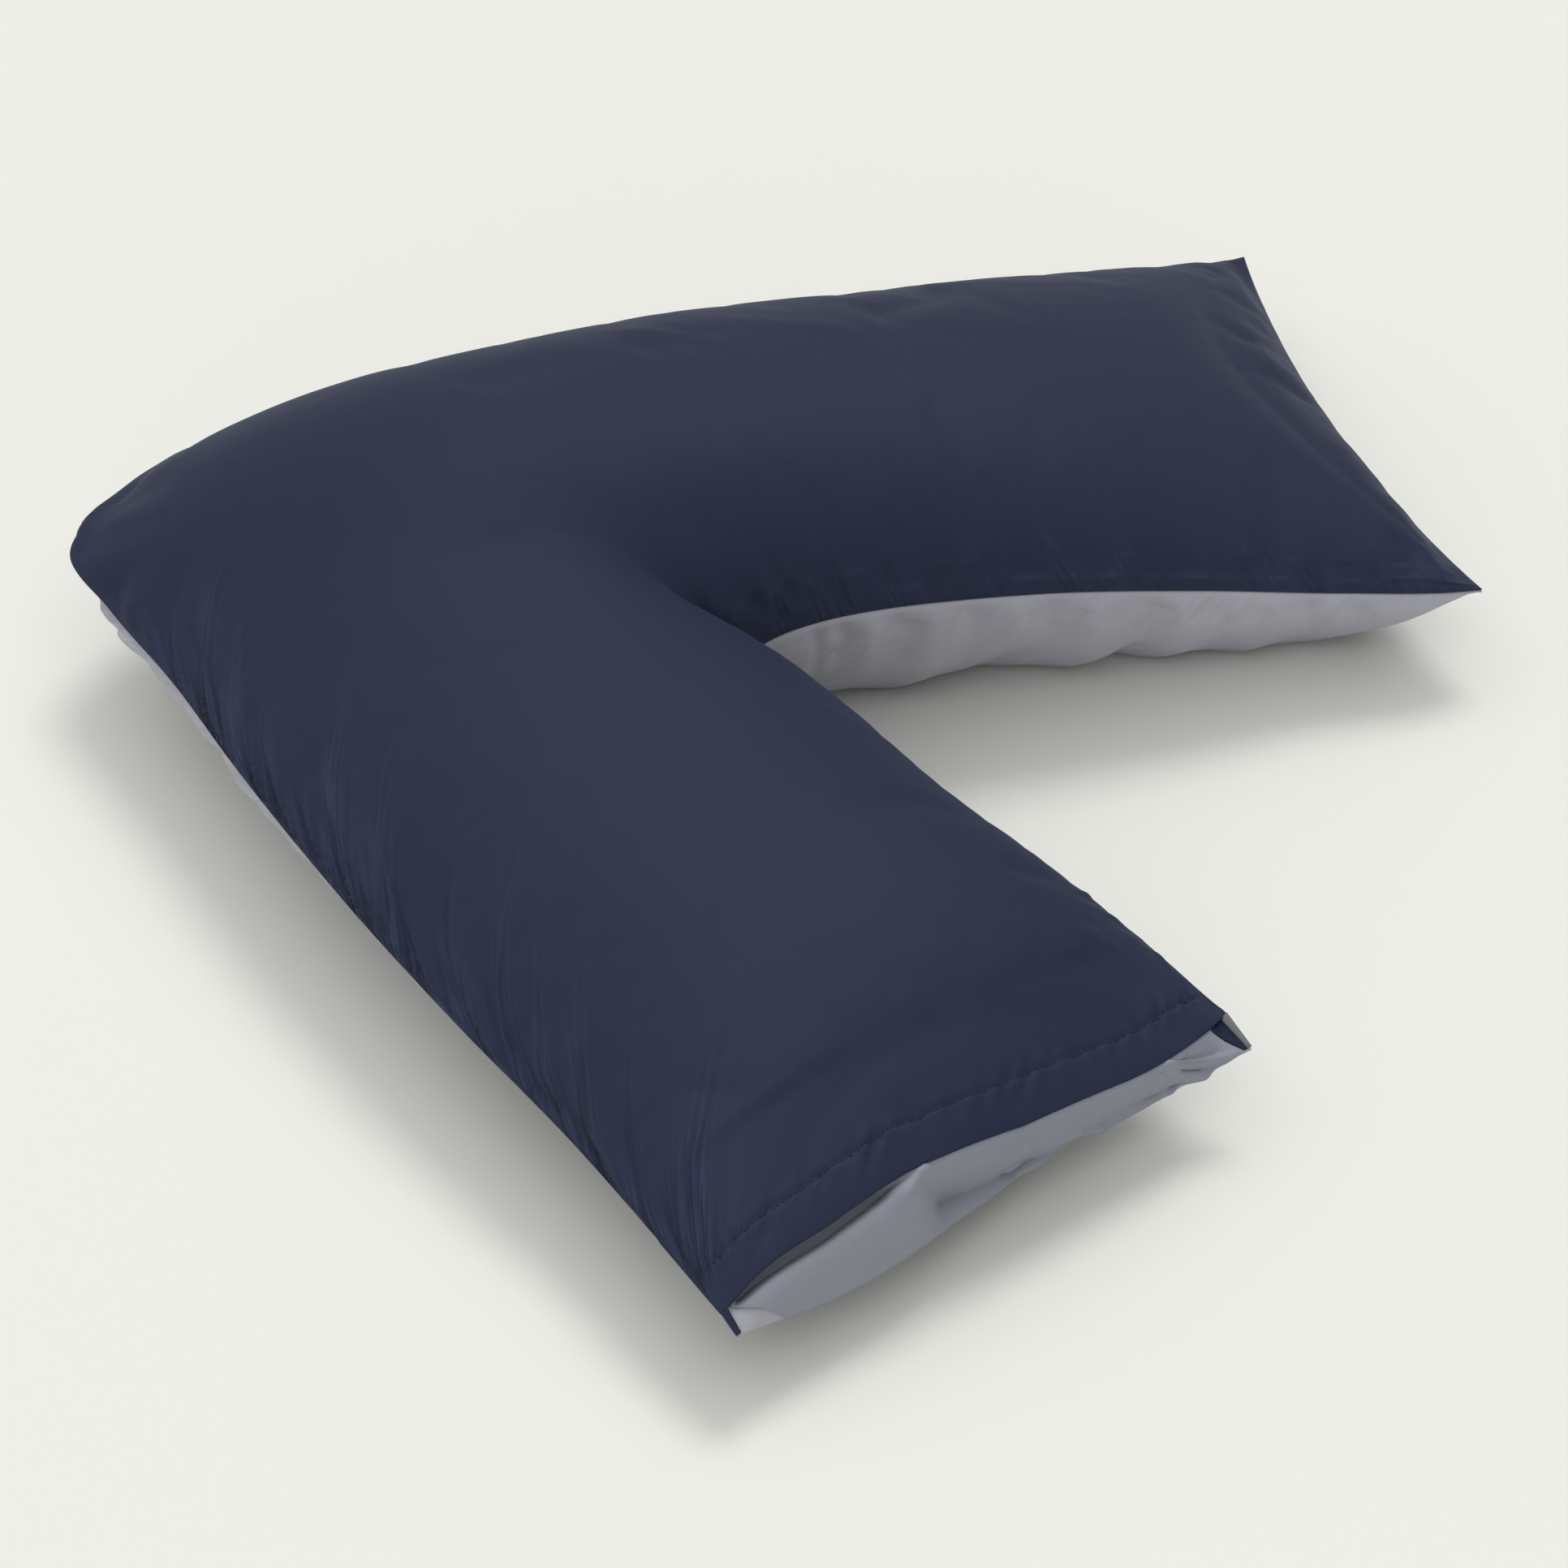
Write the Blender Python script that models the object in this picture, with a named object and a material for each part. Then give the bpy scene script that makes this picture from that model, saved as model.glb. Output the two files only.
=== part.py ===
"""V-shaped bed pillow in its two-coloured case, lying on its back on a flat surface.

The filled case is three cloths: a dark top cloth and a grey under cloth, sewn to each other
round the edge, and a grey flap that is turned in across the open end, behind the top
cloth's hem. The filling is carried by the top and under cloths, which are parted at the
seam. The tables are in millimetres, in the plan of the pillow: the outer corner of the V is
at the origin, the closed arm runs along +X and the open arm along -Y.
"""

import bmesh
import bpy
import numpy as np

MM = 0.001

# Place of the V's outer corner, so that the pillow stands centred over the origin.
CORNER_AT = (-0.4128, 0.3844, 0.0)

# Thickness of the sewn edge of each cloth, of the hem, and of the turned-in flap.
EDGE = 1.2
HEM_THICKNESS = 2.4
FLAP_THICKNESS = 2.0

# Clear distance between the pieces, behind the flap, and over the flap under the hem.
GAP = 0.3
FLAP_CLEAR = 0.4
HEM_ROOM = 0.8

# The hem is this deep, and the filling ends over the next stretch behind it.
HEM_DEPTH = 30.0
FILLING_END = 22.0
# The mouth takes its own line over this length of the open arm.
MOUTH_REACH = 110.0
# Shares of the width from each seam over which the hem reaches its full thickness, and the
# room behind it opens for the flap.
HEM_EDGE = 0.05
FLAP_EDGE = 0.018

# Cross-section of the filling: 2 is an ellipse's width exponent, lower roundness is blunter.
FULLNESS = 2.2
ROUNDNESS = 0.68

# How far along the pillow the turn at the corner is rounded, in the middle of the width.
CORNER_ROUNDING = 75.0
ROUNDING_SAMPLES = 7

# Length of each cloth round the filling, and the share of the width over which a fold fades
# out at the seam.
GIRTH = 410.0
FOLD_FADE = 0.012

# Mesh steps across the pillow, and from the hem down to the fold of the mouth.
ACROSS = 23
FOLD_STEPS = 5
# The flap starts this many mesh rows behind the hem and mesh columns in from each seam.
FLAP_STEPS = 2
FLAP_INSET = 2

# One row for each cross-section, from the closed end round the corner to the open end.
# steps: mesh steps since the row before. outer, inner: where the section meets the seam.
# crown, belly: how far the filling rises above and hangs below the straight line between
# them. peak: where the filling is highest, in percent of the way from the outer seam.
# draw: how far the section's middle is bowed in the plan, towards the open end.
SECTION_COLUMNS = (
    "steps", "outer_x", "outer_y", "outer_z", "inner_x", "inner_y", "inner_z",
    "crown", "belly", "peak", "draw",
)
SECTIONS = (
    (0, 809, -42, 46, 744, -419, 60, 0, 0, 50, -18),
    (3, 781, -46, 51, 720, -417, 65, 41, 70, 50, -17),
    (4, 720, -47, 58, 662, -397, 72, 65, 102, 50, -16),
    (5, 623, -43, 70, 583, -378, 89, 80, 111, 50, -16),
    (5, 500, -33, 79, 484, -350, 103, 92, 117, 50, -14),
    (5, 383, -19, 86, 386, -325, 108, 101, 120, 51, -10),
    (5, 261, -3, 92, 330, -317, 102, 107, 114, 54, -5),
    (4, 160, 12, 95, 309, -323, 93, 112, 103, 57, -1),
    (3, 77, 1, 93, 303, -322, 89, 113, 93, 59, 0),
    (3, 24, -37, 90, 302, -321, 88, 111, 86, 60, 0),
    (3, 21, -97, 90, 302, -322, 85, 106, 84, 59, 0),
    (3, 23, -176, 91, 311, -326, 83, 98, 82, 57, 0),
    (4, 21, -269, 90, 334, -342, 81, 90, 80, 54, 0),
    (5, 24, -389, 86, 350, -384, 80, 86, 76, 51, 1),
    (5, 34, -512, 80, 365, -482, 79, 81, 69, 50, 1),
    (5, 48, -626, 73, 387, -585, 79, 70, 54, 50, 0),
    (4, 54, -706, 68, 399, -644, 73, 44, 36, 50, 0),
    (4, 60, -769, 60, 411, -690, 68, 12, 26, 50, 0),
)
# The under cloth runs on past the hem to the ears at the two ends of the mouth's fold.
EARS = (0, 63, -781, 53, 415, -710, 56, 0, 0, 50, 0)

# The mouth, from its outer to its inner side. out: forward of the straight line between
# the ends of the hem. hem_up: the hem above that line. fold_z: the fold above the surface.
MOUTH_COLUMNS = ("across", "hem_out", "hem_up", "fold_out", "fold_z")
MOUTH = (
    (0.00, 0, 0, 12, 52),
    (0.07, -2, 10, 10, 45),
    (0.22, -3, 15, 8, 34),
    (0.33, -4, 17, 8, 33),
    (0.38, -4, 18, 8, 35),
    (0.45, -2, 16, 8, 35),
    (0.57, 2, 11, 8, 35),
    (0.72, 4, 4, 8, 41),
    (0.84, 5, -1, 10, 41),
    (0.94, 3, -1, 14, 46),
    (1.00, 0, 0, 20, 56),
)

# The soft troughs (depth above 0) and ridges (below 0) that the sewing drags into each cloth.
# from_along, to_along: place along the pillow from the closed end. from_round, to_round:
# percent of the way round the cloth from the outer to the inner seam.
FOLD_COLUMNS = ("from_along", "from_round", "to_along", "to_round", "width", "depth")
TOP_FOLDS = (
    # the closed end and the back of the closed arm
    (27, 34, 34, 49, 13, 4),
    (37, 42, 46, 53, 10, -3),
    (32, 54, 36, 64, 12, 4),
    (286, 41, 212, 33, 16, 4),
    (452, 46, 392, 44, 15, 3),
    (580, 47, 478, 45, 16, 3),
    # the puckers along the closed arm's inner seam
    (38, 74, 40, 88, 13, 4),
    (104, 87, 104, 96, 12, 4),
    (320, 90, 318, 96, 11, 3),
    (376, 88, 360, 96, 12, 3),
    (500, 91, 468, 97, 12, 3),
    # the outer corner
    (681, 18, 715, 10, 15, 5),
    (707, 24, 786, 13, 14, -3),
    (722, 31, 762, 25, 14, 3),
    # the drags along the open arm's outer seam
    (772, 18, 826, 8, 16, 3),
    (812, 18, 872, 8, 16, -3),
    (856, 17, 920, 7, 16, 3),
    (908, 17, 968, 7, 16, -3),
    (956, 16, 1016, 7, 16, 3),
    (1004, 15, 1064, 6, 16, -3),
    (1052, 14, 1114, 6, 16, 3),
    (1110, 14, 1176, 6, 16, 3),
    (1176, 13, 1232, 6, 15, -3),
    (1236, 10, 1298, 10, 14, 4),
    # the open arm's inner side and the mouth
    (1138, 67, 1160, 78, 15, 3),
    (1222, 75, 1238, 86, 15, 4),
    (1262, 83, 1306, 86, 13, -3),
    (1306, 93, 1350, 95, 15, 6),
    (1290, 67, 1326, 79, 14, 3),
    (1322, 45, 1360, 45, 13, 3),
)
UNDER_FOLDS = (
    (112, 99, 88, 84, 14, 4),
    (160, 98, 140, 82, 14, -3),
    (248, 98, 222, 80, 15, 4),
    (314, 98, 289, 78, 14, -3),
    (352, 98, 330, 78, 13, 4),
    (384, 98, 345, 76, 12, -3),
    (408, 97, 372, 76, 12, 4),
    (446, 97, 420, 76, 12, 4),
    (735, 8, 900, 10, 26, -8),
    (780, 9, 836, 9, 22, -5),
    (900, 9, 1060, 9, 22, -4),
    (790, 3, 812, 22, 14, 4),
    (900, 3, 924, 20, 15, 4),
    (1030, 3, 1052, 20, 15, 4),
    (1190, 3, 1214, 20, 15, 4),
)


def columns(names, rows):
    """The table's columns by name, as arrays."""
    table = np.array(rows, float)
    return {name: table[:, index] for index, name in enumerate(names)}


def ease(value):
    """0 up to 0, 1 from 1 on, and a smooth rise between."""
    value = np.clip(value, 0.0, 1.0)
    return value * value * (3.0 - 2.0 * value)


def mix(first, second, share):
    return first + (second - first) * share


def smooth_curve(knots, values, at):
    """A smooth curve through values at the knots, read at any places."""
    knots = np.asarray(knots, float)
    values = np.asarray(values, float)
    spans = np.diff(knots)
    slopes = np.diff(values) / spans
    inner = (slopes[:-1] * spans[1:] + slopes[1:] * spans[:-1]) / (spans[1:] + spans[:-1])
    tangents = np.concatenate([slopes[:1], inner, slopes[-1:]])
    at = np.clip(at, knots[0], knots[-1])
    left = np.clip(np.searchsorted(knots, at, side="right") - 1, 0, len(spans) - 1)
    span = spans[left]
    x = (at - knots[left]) / span
    return (
        (1 + 2 * x) * (1 - x) ** 2 * values[left]
        + x * (1 - x) ** 2 * span * tangents[left]
        + x * x * (3 - 2 * x) * values[left + 1]
        + x * x * (x - 1) * span * tangents[left + 1]
    )


SECTION = columns(SECTION_COLUMNS, SECTIONS + (EARS,))
MOUTH_TABLE = columns(MOUTH_COLUMNS, MOUTH)


def section_places():
    """The distance of each section along the pillow, halfway between its middle and outer seam."""
    outer = np.stack([SECTION["outer_x"], SECTION["outer_y"], SECTION["outer_z"]], 1)
    inner = np.stack([SECTION["inner_x"], SECTION["inner_y"], SECTION["inner_z"]], 1)
    middle = (outer + inner) / 2
    along_middle = np.linalg.norm(np.diff(middle, axis=0), axis=1)
    along_outer = np.linalg.norm(np.diff(outer, axis=0), axis=1)
    step = (along_middle + along_outer) / 2
    return np.concatenate([[0.0], np.cumsum(step)])


PLACES = section_places()
HEM_AT = PLACES[-2]
EARS_AT = PLACES[-1]


def mesh_stations():
    """Where the mesh has its rows, from the closed end to the hem."""
    found = [0.0]
    for row in range(1, len(SECTIONS)):
        count = int(SECTION["steps"][row])
        found += list(np.linspace(PLACES[row - 1], PLACES[row], count + 1)[1:])
    return np.array(found)


def read(name, along):
    return smooth_curve(PLACES, SECTION[name], along)


def read_mouth(name, across):
    return smooth_curve(MOUTH_TABLE["across"], MOUTH_TABLE[name], across)


def profile(along, across):
    """Height of the filling across the pillow: 0 at both seams and 1 at the section's peak."""
    turned = across ** (np.log(0.5) / np.log(read("peak", along) / 100))
    return (1 - np.abs(2 * turned - 1) ** FULLNESS) ** ROUNDNESS


def from_edge(across, reach):
    """0 at both seams and 1 from this share of the width inwards."""
    return ease(np.minimum(across, 1 - across) / reach)


def parting(along, across):
    """The plain sheet through the seam, where the top and under halves meet."""
    x = mix(read("outer_x", along), read("inner_x", along), across)
    y = mix(read("outer_y", along), read("inner_y", along), across)
    z = mix(read("outer_z", along), read("inner_z", along), across)
    run_x = read("inner_x", along) - read("outer_x", along)
    run_y = read("inner_y", along) - read("outer_y", along)
    width = np.hypot(run_x, run_y)
    bow = read("draw", along) * 4 * across * (1 - across)
    return np.stack([x - run_y / width * bow, y + run_x / width * bow, z], -1)


def outward():
    """The plan direction out of the mouth, square to the straight line between the hem's ends."""
    run_x = SECTION["inner_x"][-2] - SECTION["outer_x"][-2]
    run_y = SECTION["inner_y"][-2] - SECTION["outer_y"][-2]
    return np.array([run_y, -run_x]) / np.hypot(run_x, run_y)


def round_share(across):
    """How far round the filled cloth a place lies, from the outer seam at 0 to the inner at 1."""
    return np.arccos(np.clip(1 - 2 * across, -1, 1)) / np.pi


def dragged(points, along, across, folds):
    """The cloth pulled towards the middle of its section where a trough runs, and out at a ridge."""
    middle = parting(along, np.full_like(across, 0.5))
    arm = points - middle
    reach = np.linalg.norm(arm, axis=-1)
    place = round_share(across) * GIRTH
    pull = np.zeros_like(reach)
    for from_along, from_round, to_along, to_round, width, depth in folds:
        run = to_along - from_along
        climb = (to_round - from_round) / 100 * GIRTH
        beside = along - from_along
        above = place - from_round / 100 * GIRTH
        share = np.clip((beside * run + above * climb) / (run * run + climb * climb), 0, 1)
        gap = np.hypot(beside - share * run, above - share * climb)
        pull += depth * np.exp(-((gap / width) ** 2))
    pull *= from_edge(across, FOLD_FADE)
    return middle + arm * (1 - pull / reach)[..., None]


def filled_sheet(name, sign, along, across):
    """A half's outside as the filling holds it, with the turn at the V's corner rounded off.

    The filling can't follow a sharp turn away from the seams, so each place takes the average
    of places before and behind it, further apart towards the middle of the width.
    """
    reach = CORNER_ROUNDING * 4 * across * (1 - across)
    reach = np.minimum(reach, np.minimum(along, EARS_AT - along))
    total = 0.0
    for offset in np.linspace(-1, 1, ROUNDING_SAMPLES):
        at = along + offset * reach
        points = parting(at, across)
        points[..., 2] += sign * read(name, at) * profile(at, across)
        total = total + points
    return total / ROUNDING_SAMPLES


def top_sheet(along, across):
    """The outside of the top cloth, crowned by the filling and drawn to the hem at the mouth."""
    along, across = np.broadcast_arrays(along, across)
    points = filled_sheet("crown", 1, along, across)
    at_mouth = ease((along - HEM_AT + MOUTH_REACH) / MOUTH_REACH)
    hem_row = np.full_like(along, HEM_AT)
    hem = parting(hem_row, across)
    hem[..., 2] += read_mouth("hem_up", across)
    filled_hem = filled_sheet("crown", 1, hem_row, across)
    points += at_mouth[..., None] * (hem - filled_hem)
    points[..., :2] += outward() * (at_mouth * read_mouth("hem_out", across))[..., None]
    points[..., 2] += GAP / 2 + EDGE
    return dragged(points, along, across, TOP_FOLDS)


def hem_thickness(across):
    return mix(EDGE, HEM_THICKNESS, from_edge(across, HEM_EDGE))


def top_underside(along, across):
    """The inside of the top half: the parting sheet, and the hem's own thickness at the mouth."""
    along, across = np.broadcast_arrays(along, across)
    top = top_sheet(along, across)
    points = parting(along, across)
    points[..., 2] += GAP / 2
    top[..., 2] -= hem_thickness(across)
    share = ease((along - HEM_AT + HEM_DEPTH + FILLING_END) / FILLING_END)
    return mix(points, top, share[..., None])


def under_inside(along, across):
    """The upper side of the under half, which holds the flap up against the hem."""
    along, across = np.broadcast_arrays(along, across)
    points = top_underside(along, across)
    share = ease((along - HEM_AT + HEM_DEPTH + FILLING_END) / FILLING_END)
    room = (FLAP_THICKNESS + FLAP_CLEAR + HEM_ROOM) * from_edge(across, FLAP_EDGE) * share
    points[..., 2] -= GAP + room
    return points


def under_sheet(along, across):
    """The outside of the under cloth, flat where it rests."""
    along, across = np.broadcast_arrays(along, across)
    points = filled_sheet("belly", -1, along, across)
    at_mouth = ease((along - HEM_AT + MOUTH_REACH) / MOUTH_REACH)
    points[..., :2] += outward() * (at_mouth * read_mouth("hem_out", across))[..., None]
    points[..., 2] -= GAP / 2 + EDGE
    points = dragged(points, along, across, UNDER_FOLDS)
    points[..., 2] = np.maximum(points[..., 2], 0.0)
    return points


def fold_line(across):
    """The soft fold along the mouth's lower edge, between the two ears."""
    start = np.array([SECTION["outer_x"][-2], SECTION["outer_y"][-2]])
    end = np.array([SECTION["inner_x"][-2], SECTION["inner_y"][-2]])
    points = np.empty(np.shape(across) + (3,))
    points[..., :2] = mix(start, end, across[..., None])
    points[..., :2] += outward() * read_mouth("fold_out", across)[..., None]
    points[..., 2] = read_mouth("fold_z", across)
    return points


def end_face(share, across):
    """The under half's face at the mouth, from the hem at share 0 down to the fold at share 1."""
    share, across = np.broadcast_arrays(share, across)
    top = under_inside(np.full_like(across, HEM_AT), across)
    fold = fold_line(across)
    setback = (FLAP_THICKNESS + FLAP_CLEAR) * from_edge(across, FLAP_EDGE)
    fold[..., :2] -= outward() * setback[..., None]
    fold[..., 2] += EDGE
    inside = from_edge(across, HEM_EDGE)
    forward = mix(share, np.sin(share * np.pi / 2), inside)
    downward = mix(share, 1 - np.cos(share * np.pi / 2), inside)
    points = np.empty(np.shape(across) + (3,))
    points[..., :2] = mix(top[..., :2], fold[..., :2], forward[..., None])
    points[..., 2] = mix(top[..., 2], fold[..., 2], downward)
    return points


def under_end(share, across):
    """The under cloth's outside from below the hem at share 0 to the fold at share 1."""
    share, across = np.broadcast_arrays(share, across)
    start = under_sheet(np.full_like(across, HEM_AT), across)
    fold = end_face(np.ones_like(share), across)
    fold[..., 2] -= EDGE
    return mix(start, fold, share[..., None])


def across_steps(count):
    """Shares of the width, closer together near both seams."""
    return 0.5 - 0.5 * np.cos(np.pi * np.linspace(0, 1, count + 1))


def fabric(name, colour, roughness):
    """A matt cotton in one colour, linear RGB."""
    material = bpy.data.materials.new(name)
    material.use_nodes = True
    shader = material.node_tree.nodes["Principled BSDF"]
    shader.inputs["Base Color"].default_value = (*colour, 1.0)
    shader.inputs["Roughness"].default_value = roughness
    shader.inputs["Metallic"].default_value = 0.0
    return material


def body_between(name, inside, outside, material, collection, parent):
    """A closed solid whose two faces are the inside and outside sheets, in millimetres."""
    rows, count = outside.shape[:2]
    bm = bmesh.new()
    bmesh.ops.create_grid(bm, x_segments=count - 1, y_segments=rows - 1, size=0.5)
    sheet = list(bm.faces)
    extruded = bmesh.ops.extrude_face_region(bm, geom=sheet)["geom"]
    raised = {element for element in extruded if isinstance(element, bmesh.types.BMVert)}
    for vert in bm.verts:
        column = round((vert.co.x + 0.5) * (count - 1))
        row = round((vert.co.y + 0.5) * (rows - 1))
        place = outside[row, column] if vert in raised else inside[row, column]
        vert.co = [float(value) * MM for value in place]
    bmesh.ops.triangulate(bm, faces=bm.faces, quad_method="FIXED")
    bmesh.ops.recalc_face_normals(bm, faces=bm.faces)
    mesh = bpy.data.meshes.new(name)
    bm.to_mesh(mesh)
    bm.free()
    mesh.shade_smooth()
    mesh.materials.append(material)
    body = bpy.data.objects.new(name, mesh)
    body.parent = parent
    collection.objects.link(body)
    return body


def top_panel(collection, parent):
    along = mesh_stations()[:, None]
    across = across_steps(ACROSS)[None, :]
    cloth = fabric("navy_percale", (0.030, 0.036, 0.063), 0.85)
    return body_between(
        "top_panel", top_underside(along, across), top_sheet(along, across), cloth, collection, parent
    )


def bottom_panel(collection, parent):
    along = mesh_stations()[:, None]
    across = across_steps(ACROSS)[None, :]
    share = np.linspace(0, 1, FOLD_STEPS + 1)[1:, None]
    inside = np.concatenate([under_inside(along, across), end_face(share, across)])
    outside = np.concatenate([under_sheet(along, across), under_end(share, across)])
    cloth = fabric("grey_percale", (0.262, 0.262, 0.296), 0.85)
    return body_between("bottom_panel", inside, outside, cloth, collection, parent)


def inner_flap(collection, parent):
    """The turned-in cloth, from the fold up behind the hem to its hidden edge."""
    across = across_steps(ACROSS)[None, FLAP_INSET:-FLAP_INSET]
    behind = mesh_stations()[-FLAP_STEPS - 1:, None]
    share = np.linspace(0, 1, FOLD_STEPS + 1)[1:, None]
    face = np.concatenate([under_inside(behind, across), end_face(share, across)])
    normal = np.cross(np.gradient(face, axis=0), np.gradient(face, axis=1))
    normal /= np.linalg.norm(normal, axis=-1, keepdims=True)
    inside = face + normal * FLAP_CLEAR
    outside = inside + normal * FLAP_THICKNESS
    cloth = fabric("grey_flap_percale", (0.255, 0.258, 0.296), 0.85)
    return body_between("inner_flap", inside, outside, cloth, collection, parent)


def clear_scene():
    for item in list(bpy.data.objects):
        bpy.data.objects.remove(item, do_unlink=True)


def build():
    clear_scene()
    collection = bpy.data.collections.new("v_pillow")
    bpy.context.scene.collection.children.link(collection)
    corner = bpy.data.objects.new("v_pillow_corner", None)
    corner.location = CORNER_AT
    collection.objects.link(corner)
    top_panel(collection, corner)
    bottom_panel(collection, corner)
    inner_flap(collection, corner)


build()
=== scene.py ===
import bmesh
import bpy
import numpy as np
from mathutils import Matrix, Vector


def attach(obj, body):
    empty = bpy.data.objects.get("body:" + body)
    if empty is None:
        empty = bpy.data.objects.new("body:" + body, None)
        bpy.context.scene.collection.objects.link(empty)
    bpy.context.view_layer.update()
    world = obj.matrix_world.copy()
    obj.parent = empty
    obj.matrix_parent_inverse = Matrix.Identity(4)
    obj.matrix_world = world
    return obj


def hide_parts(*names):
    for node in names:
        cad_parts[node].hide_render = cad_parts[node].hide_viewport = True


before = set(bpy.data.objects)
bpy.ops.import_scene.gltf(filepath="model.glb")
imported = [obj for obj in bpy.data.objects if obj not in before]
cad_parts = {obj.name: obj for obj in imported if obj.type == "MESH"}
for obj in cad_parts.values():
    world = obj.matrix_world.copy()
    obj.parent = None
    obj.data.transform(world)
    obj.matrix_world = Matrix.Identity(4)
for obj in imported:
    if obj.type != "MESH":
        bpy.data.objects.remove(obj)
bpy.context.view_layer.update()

bpy.ops.object.select_all(action="DESELECT")

# The top cover: one V of navy cotton percale. It is sewn face to face with the grey V round the
# edge, turned right side out and filled with hollow fibre, so the cloth drags into fine creases
# where the seam holds it short. At the open arm it ends in a folded and stitched hem.
# Sizes are in millimetres, which MM turns into metres. CORNER_AT is the place of the V's outer
# corner, so that the pillow's middle lies over the origin.
MM = 0.001
CORNER_AT = (-412.8, 384.4, 0.0)
SEAM_LIP = 0.9
SEAM_GAP = 0.3
SEAM_TURN_IN = 0.7
HEM_DEPTH = 30.0
STITCH_BACK = 21.0
STITCH_SINK = 0.9
PUCKERS = 52
HEM_THICKNESS = 1.7
HEM_NOSE = 0.5
HEM_EDGE = 0.05
FILLING_END = 22.0
MOUTH_REACH = 110.0
FULLNESS = 2.2
ROUNDNESS = 0.68
CORNER_ROUNDING = 75.0
GIRTH = 410.0
ROW_STEP = 2.7
ROUND_STEP = 3.5
HEM_ROW_STEP = 1.2
CLOSED_END_ROWS = 12
EAR_SHARES = (0.972, 0.979, 0.985, 0.991)

# One row for each cross-section, in millimetres from the V's outer corner, from the closed end
# round the corner to the open end: where it meets the seam outside and inside the V, how far
# the filling rises and hangs, its peak in percent of the width, and its bow in the plan.
SECTION_COLUMNS = (
    "outer_x", "outer_y", "outer_z", "inner_x", "inner_y", "inner_z",
    "crown", "belly", "peak", "draw",
)
SECTIONS = (
    (809, -42, 46, 744, -419, 60, 0, 0, 50, -18),
    (781, -46, 51, 720, -417, 65, 41, 70, 50, -17),
    (720, -47, 58, 662, -397, 72, 65, 102, 50, -16),
    (623, -43, 70, 583, -378, 89, 80, 111, 50, -16),
    (500, -33, 79, 484, -350, 103, 92, 117, 50, -14),
    (383, -19, 86, 386, -325, 108, 101, 120, 51, -10),
    (261, -3, 92, 330, -317, 102, 107, 114, 54, -5),
    (160, 12, 95, 309, -323, 93, 112, 103, 57, -1),
    (77, 1, 93, 303, -322, 89, 113, 93, 59, 0),
    (24, -37, 90, 302, -321, 88, 111, 86, 60, 0),
    (21, -97, 90, 302, -322, 85, 106, 84, 59, 0),
    (23, -176, 91, 311, -326, 83, 98, 82, 57, 0),
    (21, -269, 90, 334, -342, 81, 90, 80, 54, 0),
    (24, -389, 86, 350, -384, 80, 86, 76, 51, 1),
    (34, -512, 80, 365, -482, 79, 81, 69, 50, 1),
    (48, -626, 73, 387, -585, 79, 70, 54, 50, 0),
    (54, -706, 68, 401, -644, 74, 44, 36, 50, 0),
    (58, -758, 63, 409, -681, 69, 20, 36, 50, 0),
    (60, -769, 60, 411, -690, 68, 12, 26, 50, 0),
    (63, -781, 53, 415, -710, 56, 0, 0, 50, 0),
)

# The mouth from its outer to its inner side: how far the hem and the fold below it stand
# forward, how far the hem rises over its own ends, how high the fold hangs, and how far the
# hem gapes over the flap.
MOUTH_COLUMNS = ("across", "hem_out", "hem_up", "fold_out", "fold_z", "gape")
MOUTH = (
    (0.00, 0, 0, 12, 52, 0.0),
    (0.07, -2, 10, 10, 45, 4.5),
    (0.22, -3, 15, 8, 34, 6.5),
    (0.31, -4, 17, 8, 33, 5.0),
    (0.38, -4, 18, 7, 34, 1.0),
    (0.45, -2, 16, 3, 31, 0.2),
    (0.57, 2, 11, -2, 27, 0.0),
    (0.72, 4, 4, -3, 31, 0.0),
    (0.84, 5, -1, 1, 33, 0.0),
    (0.94, 3, -1, 11, 43, 0.0),
    (1.00, 0, 0, 20, 56, 0.0),
)

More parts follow.
